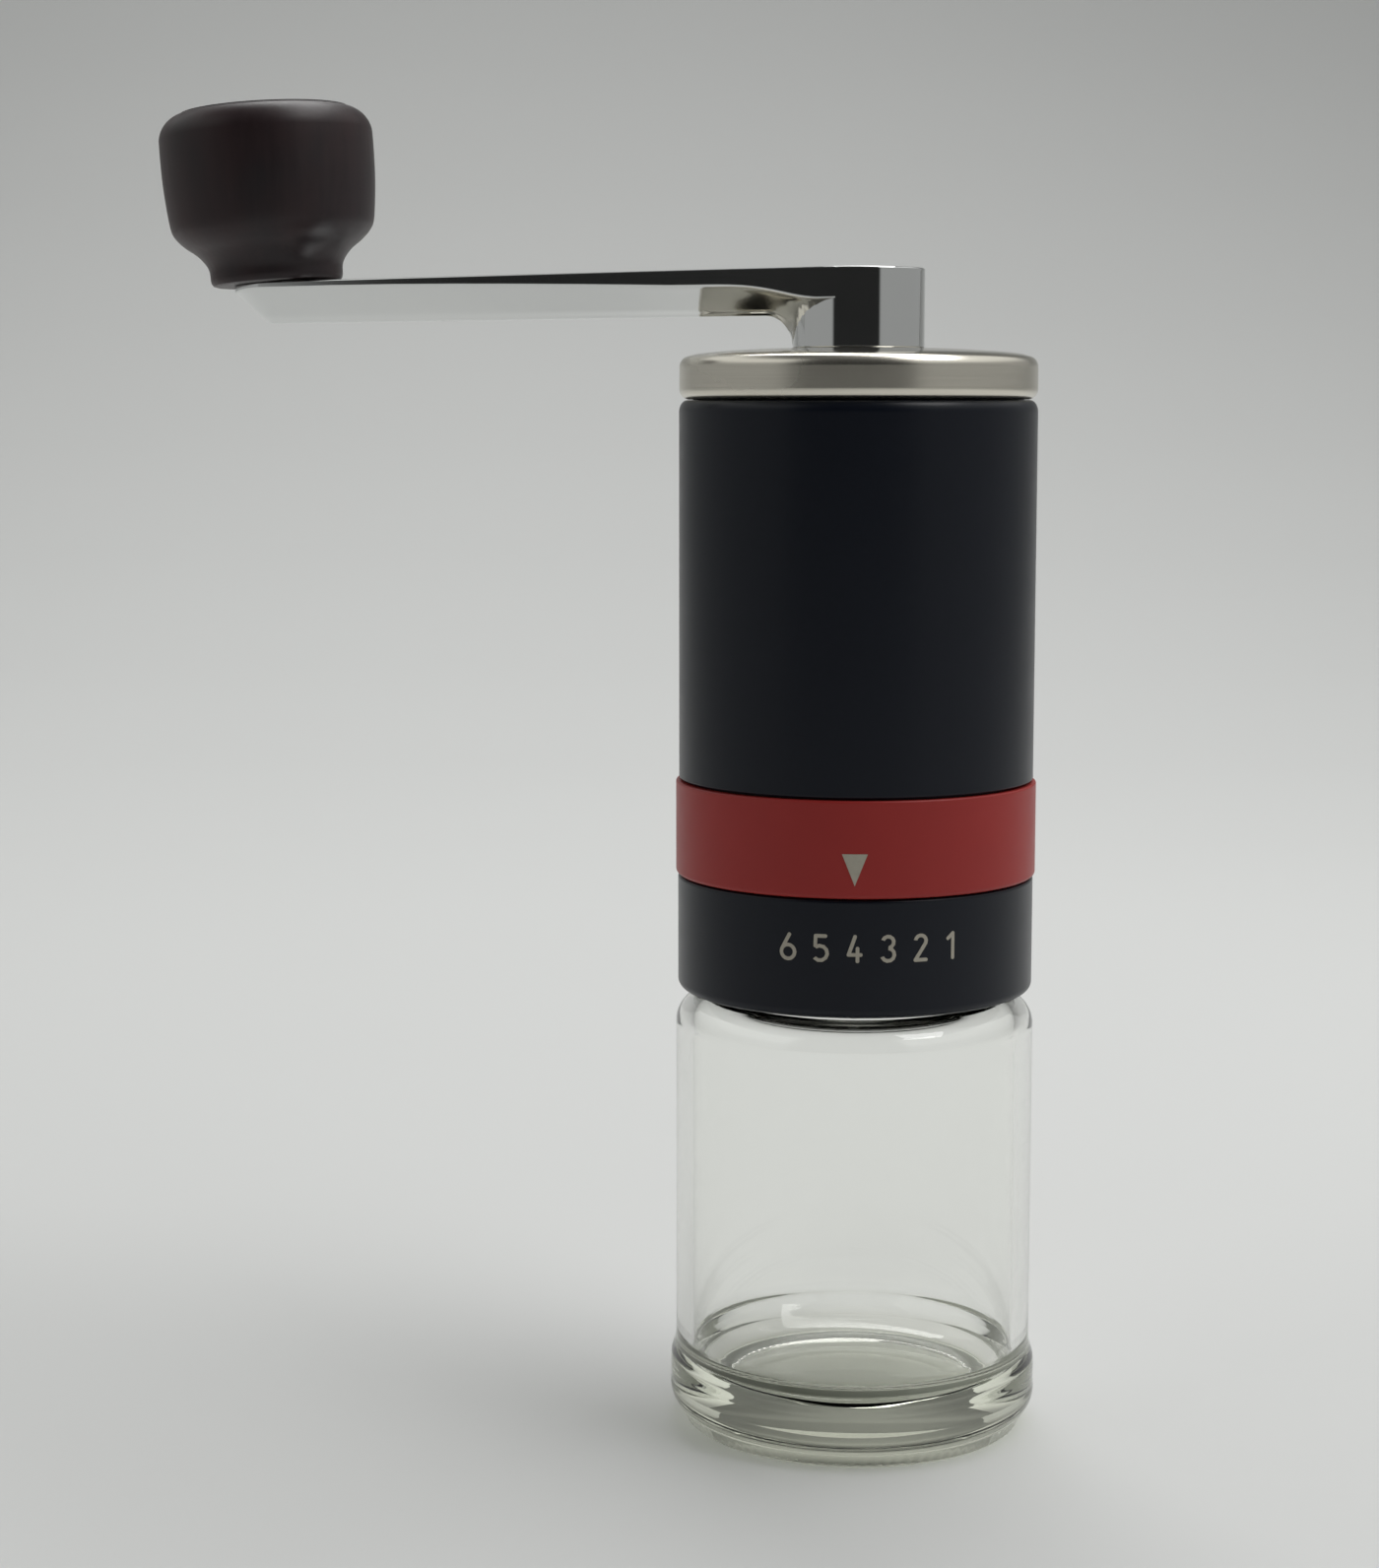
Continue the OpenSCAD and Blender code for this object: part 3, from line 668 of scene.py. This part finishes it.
def make_hub():
    """The hub with its boss through the lid. Its foot is nearer the lid than the CAD's."""
    edge = 0.25 * MM
    foot = LID_TOP + 0.06 * MM
    boss = 6.6 * MM
    socket = radius("hub_socket")
    ceiling = high("hub_socket")[2]
    boss_low = low("crank_arm")[2]
    outline = (
        [(0, ceiling), (socket, ceiling), (socket, boss_low), (boss, boss_low), (boss, foot)]
        + arc(HUB_R - edge, foot + edge, edge, -90, 0, 5)
        + arc(HUB_R - edge, HUB_TOP - edge, edge, 0, 90, 5)
        + [(HUB_R * 0.5, HUB_TOP), (0, HUB_TOP)])
    return lathe("crank_hub", outline, 160)


def make_crank():
    place(make_arm(), "crank", "arm_chrome", CHROME, "crank_arm")
    hub = place(make_hub(), "crank", "arm_chrome", CHROME)
    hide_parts("crank_arm")


make_crank()


# ---------------------------------------------------------------- knob
def make_knob():
    """A turned knob on a narrow foot, a little smaller than the CAD's, to stay inside the CAD's box."""
    r, h = 16.28 * MM, 26.84 * MM
    bore, depth = 5.4 * MM, 20 * MM
    shoulder = 4.3 * MM
    foot = [(bore, 0), (9.3 * MM, 0), (9.75 * MM, 0.15 * MM), (10.0 * MM, 0.5 * MM)]
    side = spline([(10.1 * MM, 1.0 * MM), (10.2 * MM, 2.4 * MM), (10.75 * MM, 3.6 * MM),
                   (11.9 * MM, 4.9 * MM), (13.6 * MM, 6.2 * MM), (14.85 * MM, 7.5 * MM),
                   (15.5 * MM, 8.9 * MM), (15.9 * MM, 12 * MM), (16.2 * MM, 16 * MM),
                   (r, h - 6.5 * MM)], 6)
    edge = arc(r - shoulder, h - 4.95 * MM, shoulder, 6, 80, 14)
    crown = spline([(r - 3.1 * MM, h - 0.62 * MM), (10 * MM, h - 0.4 * MM), (6 * MM, h - 0.15 * MM),
                    (0.01 * MM, h)], 5)[1:]
    outline = [(0, depth), (bore, depth)] + foot + side + edge + crown + [(0, h)]
    piece = lathe("wooden_knob", outline, 160)
    tilt = Vector((0, 0, 1)).rotation_difference(KNOB_AXIS).to_matrix().to_4x4()
    piece.data.transform(Matrix.Translation(KNOB_AT) @ tilt)
    place(piece, "knob_body", "knob_wood", WOOD, "knob")


make_knob()


# ---------------------------------------------------------------- jar
def make_jar():
    """Pressed glass: thick foot with a ring of small grip marks, straight wall, rounded shoulder, neck."""
    wall, glass, heel = 26.45 * MM, 2.6 * MM, 27.3 * MM
    recess, heel_low, heel_r = 0.9 * MM, 0.9 * MM, 4.2 * MM
    shoulder, shoulder_r, shoulder_t, inner_r = 64.4 * MM, 4 * MM, 1.8 * MM, 2.4 * MM
    neck, mouth, top, lip, throat = 21 * MM, 18.4 * MM, 76 * MM, 0.8 * MM, 0.6 * MM
    ridge, ridge_heights = 0.6 * MM, (67.6, 71.6)
    floor, corner_r, corner_h = 7.2 * MM, 19.6 * MM, 4.6 * MM
    inner = wall - glass
    ceiling = shoulder - shoulder_t

    # Outside, from the middle of the underside to the lip.
    outline = [(0, recess), (10 * MM, recess), (19.2 * MM, recess), (19.55 * MM, 0.75 * MM),
               (19.8 * MM, 0.15 * MM), (20.1 * MM, 0), (23.6 * MM, 0)]
    outline += arc(24.3 * MM, heel_low, heel_low, -90, -40, 5)
    outline += arc(heel - heel_r, 5.2 * MM, heel_r, -50, 12, 12)
    outline += spline([(heel - 0.05 * MM, 8.2 * MM), (heel - 0.12 * MM, 9.8 * MM),
                       (heel - 0.45 * MM, 11 * MM), (wall + 0.06 * MM, 12.4 * MM),
                       (wall, 14.5 * MM)], 5)
    outline += [(wall, z * MM) for z in (20, 32, 40, 50)]
    outline += arc(wall - shoulder_r, shoulder - shoulder_r, shoulder_r, 0, 82, 16)
    outline += [(neck + 0.9 * MM, shoulder + 0.05 * MM), (neck + 0.3 * MM, shoulder + 0.25 * MM),
                (neck, shoulder + 0.8 * MM)]
    for z in ridge_heights:
        outline += [(neck, z * MM), (neck + ridge, (z + 0.5) * MM), (neck + ridge, (z + 1.3) * MM),
                    (neck, (z + 1.8) * MM)]
    outline += arc(neck - lip, top - lip, lip, 0, 90, 5)

    # Inside, from the lip to the middle of the floor.
    outline += arc(mouth + lip, top - lip, lip, 90, 180, 5)
    outline += arc(mouth + throat, ceiling + throat, throat, 180, 270, 6)
    outline += arc(inner - inner_r, ceiling - inner_r, inner_r, 88, 0, 14)
    outline += [(inner, z * MM) for z in (50, 40, 28, 18)]
    outline += spline([(inner, floor + corner_h + 2 * MM), (inner, floor + corner_h + 0.8 * MM),
                       (inner - 0.25 * MM, floor + corner_h), (inner - 1.9 * MM, floor + 2.3 * MM),
                       (corner_r + 0.4 * MM, floor + 0.75 * MM), (corner_r - 1.2 * MM, floor + 0.15 * MM),
                       (corner_r - 2.6 * MM, floor)], 6)
    outline += [(12 * MM, floor), (6 * MM, floor + 0.03 * MM), (0, floor + 0.03 * MM)]

    marks, mark_depth = 96, 0.10 * MM
    mark_low, mark_high = 0.02 * MM, 1.2 * MM

    def grip(t, z):
        if z < mark_low or z > mark_high:
            return 0
        share = sin(pi * (z - mark_low) / (mark_high - mark_low))
        return mark_depth * share * cos(marks * t)

    place(lathe("jar_glass_body", outline, 4 * marks, grip), "jar", "jar_glass", GLASS, "glass_jar")


make_jar()


# ---------------------------------------------------------------- stage and light
# The dark wall behind the camera, in degrees: how far it goes to either side of -Y, and half the width
# of its edge.
DARK_LEFT = 45
DARK_RIGHT = 37
DARK_EDGE = 3
DARK_LIGHT = 0.02
SIDE_LIGHT = 0.36
# Where the upper walls and the ceiling start and are full, in degrees above the horizon, and their light.
UPPER_FROM = 15
UPPER_FULL = 32
UPPER_GAIN = 2.4
CEILING_FROM = 45
CEILING_FULL = 62
CEILING_LIGHT = 0.1
# The lamp, in metres and watts.
LAMP_AT = (0.24, 0.28, 1.16)
LAMP_TO = (0, 0.1, 0)
LAMP_SIZE = (2.0, 0.5)
LAMP_POWER = 14.4


def make_sweep():
    """A pale floor that curves up into a backdrop, narrowing until it is narrowed_at above the floor."""
    front, bend, r, wall = -5.0, 0.6, 1.5, 3.2
    floor_half, wall_half, narrowed_at = 3.5, 1.4, 0.22
    outline = [(front, 0), (bend, 0)]
    outline += [(bend + r * sin(radians(a)), r - r * cos(radians(a))) for a in range(6, 91, 6)]
    outline += [(bend + r, wall)]
    halves = [wall_half + (floor_half - wall_half) * max(0, 1 - z / narrowed_at) for y, z in outline]
    bm = bmesh.new()
    left = [bm.verts.new((-half, y, z)) for half, (y, z) in zip(halves, outline)]
    right = [bm.verts.new((half, y, z)) for half, (y, z) in zip(halves, outline)]
    for i in range(len(outline) - 1):
        bm.faces.new((left[i], left[i + 1], right[i + 1], right[i]))
    sweep = finish_mesh("sweep", bm, 60)
    n = Nodes("sweep_paper")
    n.set_from(n.mix(n.noise(n.coords, 3, 3), (0.645, 0.65, 0.64), (0.665, 0.67, 0.66)), "Base Color")
    n.put(Roughness=0.9, Specular_IOR_Level=0.1)
    sweep.data.materials.append(n.material)


def make_world():
    """A pale room: a dark wall behind the camera, walls that are brighter higher up, and a dim ceiling."""
    world = bpy.data.worlds.new("room")
    world.use_nodes = True
    bpy.context.scene.world = world
    tree = world.node_tree
    back = tree.nodes["Background"]
    back.inputs["Color"].default_value = (0.985, 1.0, 0.985, 1)

    math, rise = partial(math_node, tree), partial(smooth_node, tree)
    coords = tree.nodes.new("ShaderNodeTexCoord")
    parts = tree.nodes.new("ShaderNodeSeparateXYZ")
    tree.links.new(coords.outputs["Generated"], parts.inputs[0])
    x, y, z = parts.outputs
    turn = math("ARCTAN2", x, math("MULTIPLY", y, -1.0))
    right = rise(turn, radians(DARK_RIGHT - DARK_EDGE), radians(DARK_RIGHT + DARK_EDGE))
    left = rise(turn, radians(-DARK_LEFT + DARK_EDGE), radians(-DARK_LEFT - DARK_EDGE))
    sides = math("MAXIMUM", right, left)
    walls = math("MULTIPLY_ADD", sides, SIDE_LIGHT - DARK_LIGHT, DARK_LIGHT)
    high_up = rise(z, sin(radians(UPPER_FROM)), sin(radians(UPPER_FULL)))
    level = math("MULTIPLY", walls, math("MULTIPLY_ADD", high_up, UPPER_GAIN - 1, 1.0))
    ceiling = rise(z, sin(radians(CEILING_FROM)), sin(radians(CEILING_FULL)))
    kept = math("MULTIPLY", level, math("SUBTRACT", 1.0, ceiling))
    total = math("MULTIPLY_ADD", ceiling, CEILING_LIGHT, kept)
    tree.links.new(total, back.inputs["Strength"])


def make_light(name, at, to, size, power):
    data = bpy.data.lights.new(name, "AREA")
    data.shape = "RECTANGLE"
    data.size, data.size_y = size
    data.energy = power
    lamp = bpy.data.objects.new(name, data)
    lamp.location = at
    lamp.rotation_euler = (Vector(to) - Vector(at)).to_track_quat("-Z", "Y").to_euler()
    bpy.context.collection.objects.link(lamp)


make_sweep()
make_world()
make_light("top_box", LAMP_AT, LAMP_TO, LAMP_SIZE, LAMP_POWER)
bpy.context.scene.view_settings.view_transform = "Standard"
